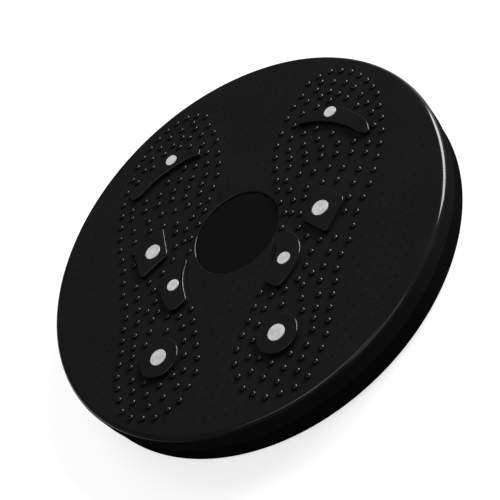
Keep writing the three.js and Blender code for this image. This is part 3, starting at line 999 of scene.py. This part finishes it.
@dataclass
class Platform:
    """The top plate with its bumps, pads and pips, the cap in its recess and the magnets."""

    dresser: Dresser
    ring: BallRing = field(default_factory=BallRing)
    footprint: Footprint = field(default_factory=Footprint)
    edge_steps: int = 10
    skirt_height: float = 12.9 * MM
    skirt_wall: float = 2.6 * MM
    skirt_round: float = 0.5 * MM
    edge_fillet: float = 3.6 * MM
    face_thickness: float = 3 * MM
    inner_fillet: float = 1.8 * MM
    recess_radius: float = 30 * MM
    recess_round: float = 0.75 * MM
    recess_floor: float = 3 * MM
    seat_fillet: float = 1.2 * MM
    shaft_hole: float = 5.1 * MM
    bush_flange: float = 1 * MM
    cap_crown: float = 0.5 * MM
    cap_sides: int = 160
    pad_height: float = 3 * MM
    pad_draft: float = 0.3 * MM
    pad_round: float = 0.75 * MM
    pad_rim: float = 0.975 * MM
    pad_steps: int = 7
    pocket_round: float = 0.25 * MM
    pocket_rim: float = 0.45 * MM
    magnet_round: float = 0.35 * MM
    magnet_sides: int = 64
    bump: Stud = Stud(
        radius=2.15 * MM,
        height=1.7 * MM,
        sides=12,
        shape=((1, -0.012), (0.94, 0.36), (0.74, 0.7), (0.42, 0.92), (0, 1)),
    )
    bump_level_error: float = 0.01 * MM
    pip: Stud = Stud(
        radius=0.7 * MM,
        height=0.32 * MM,
        sides=8,
        shape=((1.3, -0.08), (0.95, 0.35), (0.5, 0.85), (0, 1)),
    )
    pip_pitch: float = 6.9 * MM
    pip_spacing: float = 7.0 * MM
    pip_edge_gap: float = 11.9 * MM
    pip_bump_gap: float = 6.6 * MM
    sink: float = 0.02 * MM

    def __post_init__(self) -> None:
        """Reads the levels and places that the frame gives."""
        self.face = mount_level("standing_face")
        self.radius = half_width("top_plate")
        self.hub_bottom = span("top_plate")[0]
        self.cap_bottom, self.cap_top = span("centre_cap")
        self.seat = self.cap_bottom - SEAT_GAP
        self.bush_hole = half_width("head_washer") + SEAT_GAP
        self.web_top = span("pivot_bush")[1] - self.bush_flange - SEAT_GAP
        self.pads = self.footprint.outlines()
        self.bumps = self.bump_places()

    def bump_places(self) -> np.ndarray:
        """The bumps' places, from the solid top plate's own points at the bumps' height.

        Returns:
            One row for each bump, to a hundredth of a millimetre.
        """
        mesh = frame["nodes"]["top_plate"].data
        points = np.empty(len(mesh.vertices) * 3, np.float32)
        mesh.vertices.foreach_get("co", points)
        points = points.reshape(-1, 3)
        error = np.abs(points[:, 2] - self.face - self.bump.height)
        tops = points[error < self.bump_level_error]
        return np.unique(np.round(tops[:, :2].astype(float) / MM, 2), axis=0) * MM

    def shell(self) -> None:
        """The turned shell: hub, race, skirt, rounded edge, face and recess, with its ribs."""
        under = self.face - self.face_thickness
        seat_under = self.seat - self.recess_floor
        seat_outer = self.recess_radius + self.recess_floor
        inner = self.radius - self.skirt_wall
        skirt_bottom = self.face - self.skirt_height
        profile = rounded([
            (self.shaft_hole, self.hub_bottom, SOFT_ROUND),
            (HUB_RADIUS, self.hub_bottom, BROAD_ROUND),
            (HUB_RADIUS, seat_under, ROOT_ROUND),
            (seat_outer, seat_under, self.seat_fillet),
            (seat_outer, under, ROOT_ROUND),
            *self.ring.race(under, 1),
            (inner, under, self.inner_fillet),
            (inner, skirt_bottom, SOFT_ROUND),
            (self.radius, skirt_bottom, self.skirt_round),
            (self.radius, self.face, self.edge_fillet),
            (self.recess_radius, self.face, self.recess_round),
            (self.recess_radius, self.seat, SOFT_ROUND),
            (self.bush_hole, self.seat, SOFT_ROUND),
            (self.bush_hole, self.web_top, SOFT_ROUND),
            (self.shaft_hole, self.web_top, FINE_ROUND),
        ], closed=True, steps=self.edge_steps)
        surfaces = [turned(profile, DISC_SIDES, wrap=True), *self.ring.ribs(under, 1, seat_outer, inner)]
        self.dresser.add("platform_shell", surfaces, Body.PLATFORM, TOP_PLASTIC, ["top_plate"])

    def raised_pads(self) -> None:
        """The eight raised pads, each with the pocket that its magnet lies in."""
        foot, top = self.face - self.sink, self.face + self.pad_height
        floor = span("magnet_toe_right")[0] - SEAT_GAP
        profile = rounded([
            (0.0, foot, 0),
            (self.pad_draft, top, self.pad_round),
            (self.pad_draft + self.pad_rim, top, 0),
        ], steps=self.pad_steps)
        for name, outline in self.pads.items():
            x, y = middle(f"magnet_{name}_right")
            pocket = half_width(f"magnet_{name}_right") + SEAT_GAP
            bore = rounded([
                (pocket + self.pocket_rim, top, 0),
                (pocket, top, self.pocket_round),
                (pocket, floor, 0),
                (0, floor, 0),
            ])
            wall = raised(outline, profile)
            mouth = circle(bore[0, 0], self.magnet_sides, x, y)
            right = [
                wall,
                flat_between(wall.points[-len(outline):, :2], [mouth], top),
                turned(bore, self.magnet_sides).moved(x, y),
                flat_between(wall.points[:len(outline), :2], [], foot, upwards=False),
            ]
            left = [surface.mirrored() for surface in right]
            for side, surfaces in (("right", right), ("left", left)):
                self.dresser.add(f"pad_{name}_{side}", surfaces, Body.PLATFORM, TOP_PLASTIC)

    def studs(self, name: str, stud: Stud, places: np.ndarray, finish: Finish) -> None:
        """Stands a stud on the face at each place, as one piece.

        Args:
            name: The piece's name.
            stud: The stud's form.
            places: Where the studs stand.
            finish: Their finish.
        """
        profile = np.array(stud.shape) * [stud.radius, stud.height] + [0, self.face]
        surfaces = [domes(places, profile, stud.sides)]
        self.dresser.add(name, surfaces, Body.PLATFORM, finish, sharp_above=DOME_SHARP)

    def pip_places(self) -> np.ndarray:
        """Places of the fine pips: rings of them on the face, clear of bumps and pads.

        On the ring of radius r the pips stand evenly, as many as fit at their spacing. Two rings
        start beside the +X axis and the next two half a step round.

        Returns:
            One row for each pip.
        """
        outer, inner = self.radius - self.pip_edge_gap, self.recess_radius + self.pip_pitch / 2
        radii = np.arange(outer, inner, -self.pip_pitch)
        counts = np.round(2 * math.pi * radii / self.pip_spacing).astype(int)
        starts = (np.arange(len(radii)) // 2 % 2) / 2
        ring = np.repeat(np.arange(len(radii)), counts)
        number = np.arange(len(ring)) - np.repeat(np.cumsum(counts) - counts, counts)
        angle = (number + starts[ring]) * 2 * math.pi / counts[ring]
        places = radii[ring, None] * np.column_stack([np.cos(angle), np.sin(angle)])
        keep = np.linalg.norm(places[:, None] - self.bumps[None], axis=-1).min(1) > self.pip_bump_gap
        on_right = np.abs(places[:, :1]) * [1, 0] + places * [0, 1]
        for outline in self.pads.values():
            near = np.linalg.norm(on_right[:, None] - outline[None], axis=-1).min(1) < self.pip_pitch / 2
            keep &= ~(inside(on_right, outline) | near)
        return places[keep]

    def cap(self) -> None:
        """The flat cap in the recess, with a softly rounded edge."""
        edge, top = self.recess_radius - SEAT_GAP, self.cap_top + self.cap_crown
        profile = rounded([
            (0, self.cap_bottom, 0),
            (edge, self.cap_bottom, FINE_ROUND),
            (edge, top, SOFT_ROUND),
            (0, top, 0),
        ])
        self.dresser.add(
            "recess_cap", [turned(profile, self.cap_sides)], Body.PLATFORM, CAP_PLASTIC, ["centre_cap"]
        )

    def magnets(self) -> None:
        """The eight round magnets, standing a little proud of their pads."""
        for node in (name for name in frame["nodes"] if name.startswith("magnet_")):
            bottom, top = span(node)
            radius = half_width(node)
            profile = rounded([
                (0, bottom, 0), (radius, bottom, FINE_ROUND), (radius, top, self.magnet_round), (0, top, 0),
            ])
            surfaces = [turned(profile, self.magnet_sides).moved(*middle(node))]
            self.dresser.add(f"nickel_{node}", surfaces, Body.PLATFORM, NICKEL, [node])

    def build(self) -> None:
        """Builds and dresses the whole platform."""
        self.shell()
        self.raised_pads()
        # The bumps' darker colour is painted shade
        self.studs("massage_bumps", self.bump, self.bumps, SHADED_BUMP_PLASTIC)
        # The pips' darker colour is painted shade
        self.studs("face_pips", self.pip, self.pip_places(), SHADED_PIP_PLASTIC)
        self.cap()
        self.magnets()


# The base


@dataclass
class Base:
    """The base plate and its rubber feet."""

    dresser: Dresser
    ring: BallRing = field(default_factory=BallRing)
    edge_steps: int = 5
    wall: float = 4 * MM
    floor_thickness: float = 3 * MM
    draft: float = 0.2 * MM
    edge_round: float = 1.0 * MM
    lip_height: float = 3.5 * MM
    lip_inset: float = 2.6 * MM
    well_round: float = 0.6 * MM
    groove_width: float = 2 * MM
    groove_depth: float = 0.6 * MM
    hub_groove: float = 24 * MM
    groove_inside_feet: float = 6 * MM
    groove_outside_feet: float = 4 * MM
    foot_count: int = 6
    foot_margin: float = 1.5 * MM
    pocket_depth: float = 1.5 * MM
    pocket_root: float = 0.15 * MM
    pocket_round: float = 0.35 * MM
    pocket_rim: float = 0.7 * MM
    pocket_sides: int = 64
    foot_round: float = 0.9 * MM
    dish_radius: float = 5.5 * MM
    dish_depth: float = 0.35 * MM
    dish_slope: float = 0.5 * MM

    def __post_init__(self) -> None:
        """Reads the levels and places that the frame gives."""
        self.bottom, self.lip_top = span("base_plate")
        self.top = self.lip_top - self.lip_height
        self.radius = half_width("base_plate")
        self.well = half_width("base_washer") + SEAT_GAP
        self.web_bottom = span("base_washer")[1] + SEAT_GAP
        self.hub_top = span("thrust_washer")[0] - SEAT_GAP
        self.feet = [middle(f"rubber_foot_{number}") for number in range(1, self.foot_count + 1)]
        self.foot_radius = half_width("rubber_foot_1")
        self.pocket = self.foot_radius + SEAT_GAP

    def groove(self, radius: float) -> list[Corner]:
        """A shallow ring groove in the underside.

        Args:
            radius: Radius of the groove's middle.

        Returns:
            Its corners, from the inner edge outwards.
        """
        inner, outer = radius - self.groove_width / 2, radius + self.groove_width / 2
        roof = self.bottom + self.groove_depth
        places = ((inner, self.bottom), (inner, roof), (outer, roof), (outer, self.bottom))
        return [(*place, FINE_ROUND) for place in places]

    def shell(self) -> None:
        """The dish: the wall and its lip, the race and the hub inside, and the underside."""
        floor = self.bottom + self.floor_thickness
        reach = self.pocket + self.foot_margin
        zone_inner, zone_outer = self.feet[0][0] - reach, self.feet[0][0] + reach
        inner, lip = self.radius - self.wall, self.radius - self.lip_inset
        outside = rounded([
            (zone_outer, self.bottom, 0),
            *self.groove(zone_outer + self.groove_outside_feet),
            (self.radius - self.draft, self.bottom, self.edge_round),
            (self.radius, self.top, SOFT_ROUND),
            (lip, self.top, FINE_ROUND),
            (lip, self.lip_top, SOFT_ROUND),
            (inner, self.lip_top, SOFT_ROUND),
            (inner, floor, ROOT_ROUND),
            *self.ring.race(floor, -1),
            (HUB_RADIUS, floor, ROOT_ROUND),
            (HUB_RADIUS, self.hub_top, BROAD_ROUND),
            (BOLT_HOLE, self.hub_top, FINE_ROUND),
            (BOLT_HOLE, self.web_bottom, FINE_ROUND),
            (self.well, self.web_bottom, BROAD_ROUND),
            (self.well, self.bottom, self.well_round),
            *self.groove(self.hub_groove),
            *self.groove(zone_inner - self.groove_inside_feet),
            (zone_inner, self.bottom, 0),
        ], steps=self.edge_steps)
        pocket_top = self.bottom + self.pocket_depth
        bore = rounded([
            (0, pocket_top, 0),
            (self.pocket, pocket_top, self.pocket_root),
            (self.pocket, self.bottom, self.pocket_round),
            (self.pocket + self.pocket_rim, self.bottom, 0),
        ])
        rims = [circle(bore[-1, 0], self.pocket_sides, x, y) for x, y in self.feet]
        holes = [circle(zone_inner, DISC_SIDES), *rims]
        underside = flat_between(circle(zone_outer, DISC_SIDES), holes, self.bottom, upwards=False)
        pockets = [turned(bore, self.pocket_sides).moved(x, y) for x, y in self.feet]
        ribs = self.ring.ribs(floor, -1, HUB_RADIUS - self.ring.rib_reach, inner)
        surfaces = [turned(outside, DISC_SIDES), underside, *pockets, *ribs]
        self.dresser.add("base_shell", surfaces, Body.BASE, BASE_PLASTIC, ["base_plate"])

    def rubber_feet(self) -> None:
        """The six feet, each with a rounded edge and a shallow dish that grips like a cup."""
        bottom, top = span("rubber_foot_1")
        profile = rounded([
            (0, bottom + self.dish_depth, 0),
            (self.dish_radius, bottom + self.dish_depth, FINE_ROUND),
            (self.dish_radius + self.dish_slope, bottom, FINE_ROUND),
            (self.foot_radius, bottom, self.foot_round),
            (self.foot_radius, top, FINE_ROUND),
            (0, top, 0),
        ])
        for number, (x, y) in enumerate(self.feet, 1):
            surfaces = [turned(profile, self.pocket_sides).moved(x, y)]
            self.dresser.add(f"grip_foot_{number}", surfaces, Body.BASE, RUBBER, [f"rubber_foot_{number}"])

    def build(self) -> None:
        """Builds and dresses the base."""
        self.shell()
        self.rubber_feet()


# The bearing


@dataclass
class Bearing:
    """The nylon cage and the steel balls that it spaces."""

    dresser: Dresser
    ring: BallRing = field(default_factory=BallRing)
    ball_count: int = 12
    ball_sides: int = 40
    cage_sides: int = 240
    cage_rim: float = 1 * MM

    def cage(self) -> None:
        """The flat cage: a ring with a bored pocket for each ball."""
        bottom, top = span("ball_cage")
        outer = half_width("ball_cage")
        inner = 2 * self.ring.radius - outer
        edges = []
        for edge, flat, first, last in (
            (outer, outer - self.cage_rim, bottom, top), (inner, inner + self.cage_rim, top, bottom),
        ):
            profile = rounded([
                (flat, first, 0), (edge, first, BROAD_ROUND), (edge, last, BROAD_ROUND), (flat, last, 0),
            ])
            edges.append(turned(profile, self.cage_sides))
        spots = circle(self.ring.radius, self.ball_count)
        holes = [circle(self.ring.pocket, self.ball_sides, x, y) for x, y in spots]
        holes.insert(0, circle(inner + self.cage_rim, self.cage_sides))
        rim = circle(outer - self.cage_rim, self.cage_sides)
        faces = [flat_between(rim, holes, top), flat_between(rim, holes, bottom, upwards=False)]
        bore = turned(np.array([[self.ring.pocket, top], [self.ring.pocket, bottom]]), self.ball_sides)
        bores = [bore.moved(x, y) for x, y in spots]
        self.dresser.add("cage_ring", [*edges, *faces, *bores], Body.CAGE, NYLON, ["ball_cage"])

    def balls(self) -> None:
        """The balls: the point at angles a and b is the ball's middle and r times that direction."""
        radius, level = self.ring.ball_radius, sum(span("steel_ball_1")) / 2
        tilt = np.linspace(-math.pi / 2, math.pi / 2, self.ball_sides // 2 + 1)
        profile = np.column_stack([radius * np.cos(tilt), level + radius * np.sin(tilt)])
        ball = turned(profile, self.ball_sides)
        for number in range(1, self.ball_count + 1):
            node = f"steel_ball_{number}"
            surfaces = [ball.moved(*middle(node))]
            self.dresser.add(f"bearing_ball_{number}", surfaces, f"ball_{number}", BALL_STEEL, [node])

    def build(self) -> None:
        """Builds and dresses the bearing."""
        self.cage()
        self.balls()


# The pivot


@dataclass
class Pivot:
    """The bolt, its washers, the bush and the lock nut."""

    dresser: Dresser
    sides: int = 64
    bolt_radius: float = 3 * MM
    bolt_tip: float = 2.5 * MM
    head_height: float = 3 * MM
    head_round: float = 1.2 * MM
    socket_radius: float = 2.3 * MM
    socket_mouth: float = 2.576 * MM
    socket_depth: float = 1.8 * MM
    thread_start: float = 0.8 * MM
    thread_pitch: float = 1 * MM
    thread_turns: int = 11
    thread_depth: float = 0.3 * MM
    thread_round: float = 0.06 * MM
    edge_round: float = 0.15 * MM
    ring_steps: int = 4
    nut_sides: int = 192
    nut_flats: float = 10.05 * MM
    nut_chamfer: tuple[Pair, ...] = ((0.0, 0.8 * MM), (0.12 * MM, 0.45 * MM), (0.45 * MM, 0.0))
    collar_radius: float = 4.6 * MM
    collar_height: float = 1.4 * MM
    collar_round: float = 0.5 * MM
    flange_thickness: float = 1 * MM
    sleeve_wall: float = 1.5 * MM

    def bolt(self) -> None:
        """The bolt: thread grooves turned in its lower end, and a hexagon socket in its head.

        A socket row runs from a hexagon at its floor to one at its mouth, and the head's flat
        meets it there.
        """
        bottom, top = span("pivot_bolt")
        head, under = half_width("pivot_bolt"), top - self.head_height
        radii = (self.bolt_radius, self.bolt_radius - self.thread_depth)
        thread = [
            (radii[step % 2], bottom + self.thread_start + step * self.thread_pitch / 2, self.thread_round)
            for step in range(2 * self.thread_turns)
        ]
        profile = rounded([
            (0, bottom, 0), (self.bolt_tip, bottom, 0), *thread, (self.bolt_radius, under, self.edge_round),
            (head, under, FINE_ROUND), (head, top, self.head_round), (self.socket_mouth, top, 0),
        ])
        hexagon = even_loop(circle(self.socket_radius, 6), 6 * self.socket_radius / self.sides)
        floor = top - self.socket_depth
        walls = np.stack([np.column_stack([hexagon, np.full(self.sides, level)]) for level in (top, floor)])
        surfaces = [
            turned(profile, self.sides),
            flat_between(circle(self.socket_mouth, self.sides), [hexagon], top),
            grid(walls),
            flat_between(hexagon, [], floor),
        ]
        self.dresser.add("bolt", surfaces, Body.BASE, ZINC, ["pivot_bolt"], HEXAGON_SHARP)

    def bored(self, name: str, node: str, outside: Sequence[Pair], body: Body, finish: Finish) -> None:
        """A turned piece with the bolt's hole through it and softened edges.

        Args:
            name: The piece's name.
            node: The frame node that it stands for.
            outside: Radius and level of its outer corners, upwards.
            body: The body that it rides on.
            finish: Its finish.
        """
        places = [(BOLT_HOLE, outside[0][1]), *outside, (BOLT_HOLE, outside[-1][1])]
        profile = rounded([(*place, self.edge_round) for place in places], closed=True, steps=self.ring_steps)
        self.dresser.add(name, [turned(profile, self.sides, wrap=True)], body, finish, [node])

    def washer(self, name: str, node: str, finish: Finish) -> None:
        """A flat washer in the place of a frame node."""
        outside = [(half_width(node), level) for level in span(node)]
        self.bored(name, node, outside, Body.BASE, finish)

    def bush(self) -> None:
        """The flanged bush that the platform turns on."""
        bottom, top = span("pivot_bush")
        flange, under = half_width("pivot_bush"), top - self.flange_thickness
        sleeve = BOLT_HOLE + self.sleeve_wall
        outside = [(sleeve, bottom), (sleeve, under), (flange, under), (flange, top)]
        self.bored("flanged_bush", "pivot_bush", outside, Body.PLATFORM, NYLON)

    def nut(self) -> None:
        """The lock nut: a hexagon whose corners are turned off, and its round collar.

        At angle a the hexagon reaches half its width over flats divided by the cosine of the
        angle from the nearest flat, and a cone limits that reach towards both ends.
        """
        bottom, top = span("lock_nut")
        foot = bottom + self.collar_height
        sides, angle = self.nut_sides, turns(self.nut_sides)
        half, sixth = self.nut_flats / 2, math.pi / 6
        rise, inset = np.array(self.nut_chamfer).T
        levels = np.concatenate([foot + rise, top - rise[::-1]])
        limits = half / math.cos(sixth) - np.concatenate([inset, inset[::-1]])
        reach = np.minimum(half / np.cos(angle % (2 * sixth) - sixth), limits[:, None])
        points = np.stack([reach * np.cos(angle), reach * np.sin(angle), levels[:, None] + 0 * angle], -1)
        collar = rounded([
            (BOLT_HOLE, bottom, 0),
            (self.collar_radius, bottom, self.collar_round),
            (self.collar_radius, foot, 0),
        ])
        surfaces = [
            grid(points),
            turned(np.array([[BOLT_HOLE, top], [BOLT_HOLE, bottom]]), sides),
            turned(collar, sides),
            flat_between(points[-1, :, :2], [circle(BOLT_HOLE, sides)], top),
            flat_between(points[0, :, :2], [circle(self.collar_radius, sides)], foot, upwards=False),
        ]
        self.dresser.add("nut", surfaces, Body.BASE, ZINC, ["lock_nut"], HEXAGON_SHARP)

    def build(self) -> None:
        """Builds and dresses the pivot."""
        self.bolt()
        self.washer("bolt_washer", "head_washer", ZINC)
        self.washer("hub_washer", "thrust_washer", NYLON)
        self.washer("nut_washer", "base_washer", ZINC)
        self.bush()
        self.nut()


# The studio


def direction(azimuth: float, elevation: float) -> Vector:
    """The way towards an azimuth from +X towards +Y and an elevation over the floor, in degrees."""
    around, up = math.radians(azimuth), math.radians(elevation)
    return Vector((math.cos(around) * math.cos(up), math.sin(around) * math.cos(up), math.sin(up)))


@dataclass(frozen=True)
class Softbox:
    """A rectangular lamp that faces the disc.

    Args:
        name: The lamp's name.
        azimuth: Degrees from +X towards +Y.
        elevation: Degrees above the floor.
        distance: Metres from the disc.
        width: Metres across.
        height: Metres from its lower edge to its upper one.
        radiance: Brightness of its face, where a white wall is 1.
    """

    name: str
    azimuth: float
    elevation: float
    distance: float
    width: float
    height: float
    radiance: float

    def hang(self, centre: Vector) -> None:
        """Hangs the lamp.

        Args:
            centre: The point that it faces.
        """
        lamp = bpy.data.lights.new(self.name, "AREA")
        lamp.shape = "RECTANGLE"
        lamp.size, lamp.size_y = self.width, self.height
        lamp.energy = math.pi * self.width * self.height * self.radiance
        hung = bpy.data.objects.new(self.name, lamp)
        towards = direction(self.azimuth, self.elevation)
        hung.location = centre + towards * self.distance
        hung.rotation_euler = towards.to_track_quat("Z", "Y").to_euler()
        hung.visible_camera = False
        bpy.context.scene.collection.objects.link(hung)


@dataclass
class Studio:
    """The pale floor, the dim surroundings, the lamps and the camera."""

    floor_size: float = 60.0
    floor_colour: float = 0.5
    floor_roughness: float = 0.9
    floor_lift: float = 0.75
    floor_drop: float = 0.05 * MM
    surroundings_level: float = 0.08
    lamp_target: tuple[float, float, float] = (0.0, 0.0, 20 * MM)
    # Each with its azimuth, elevation, distance, width, height and radiance
    softboxes: tuple[Softbox, ...] = (
        Softbox("key_softbox", 49, 24, 2.5, 1.95, 1.15, 13.0),
        Softbox("back_softbox", 130, 45, 2.5, 1.7, 1.6, 2.8),
        Softbox("top_softbox", -112, 78, 2.5, 1.5, 1.4, 1.2),
        Softbox("fill_softbox", -31, 47, 2.5, 1.3, 0.9, 0.75),
    )
    camera_target: tuple[float, float, float] = (34.24 * MM, -7.48 * MM, 29 * MM)
    camera_distance: float = 702.8 * MM
    camera_azimuth: float = -51.679
    camera_elevation: float = 42.218
    camera_roll: float = 42.524
    camera_lens: float = 84.452
    camera_sensor: float = 36.0
    camera_shift: Pair = (-0.065, -0.0421)
    camera_clip: Pair = (0.01, 50.0)

    def floor(self) -> None:
        """A wide pale floor: it keeps the disc's shadow, and shows white to the eye and in gloss."""
        half = self.floor_size / 2
        corners = np.array([[-half, -half], [half, -half], [half, half], [-half, half]])
        piece = make_piece("studio_floor", [flat_between(corners, [], -self.floor_drop)])
        made = bpy.data.materials.new("studio_floor_paint")
        graph = Graph(made)
        camera, gloss, glass = (
            graph.node("ShaderNodeLightPath", output=name)
            for name in ("Is Camera Ray", "Is Glossy Ray", "Is Transmission Ray")
        )
        seen = camera.at_least(gloss).at_least(glass)
        graph.surface({
            "Base Color": (*grey(self.floor_colour), 1),
            "Roughness": self.floor_roughness,
            "Specular IOR Level": 0.0,
            "Emission Color": graph.blend(seen, grey(0.0), grey(1.0)),
            "Emission Strength": self.floor_lift,
        })
        piece.data.materials.append(made)

    def surroundings(self) -> None:
        """A dim room round the lamps, so that the gloss shows them and little else."""
        world = bpy.data.worlds.new("studio")
        bpy.context.scene.world = world
        graph = Graph(world)
        light = {"Color": (*grey(1.0), 1), "Strength": self.surroundings_level}
        graph.end(graph.node("ShaderNodeBackground", inputs=light), "ShaderNodeOutputWorld")

    def camera(self) -> None:
        """The camera: it looks at a point on the face and is rolled about its own line of sight."""
        lens = bpy.data.cameras.new("camera")
        lens.lens, lens.sensor_width = self.camera_lens, self.camera_sensor
        lens.shift_x, lens.shift_y = self.camera_shift
        lens.clip_start, lens.clip_end = self.camera_clip
        camera = bpy.data.objects.new("camera", lens)
        back = direction(self.camera_azimuth, self.camera_elevation)
        roll = Matrix.Rotation(math.radians(-self.camera_roll), 3, "Z")
        turn = back.to_track_quat("Z", "Y").to_matrix() @ roll
        place = Vector(self.camera_target) + back * self.camera_distance
        camera.matrix_world = Matrix.Translation(place) @ turn.to_4x4()
        bpy.context.scene.collection.objects.link(camera)
        bpy.context.scene.camera = camera

    def build(self) -> None:
        """Sets up the whole studio."""
        self.floor()
        self.surroundings()
        for softbox in self.softboxes:
            softbox.hang(Vector(self.lamp_target))
        self.camera()
        bpy.context.scene.view_settings.view_transform = "Standard"


def main() -> None:
    """Builds the studio and the disc."""
    logging.basicConfig(level=logging.INFO, format="%(name)s: %(message)s")
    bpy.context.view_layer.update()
    Studio().build()
    dresser = Dresser()
    for assembly in (Platform(dresser), Base(dresser), Bearing(dresser), Pivot(dresser)):
        assembly.build()


if __name__ == "__main__":
    main()
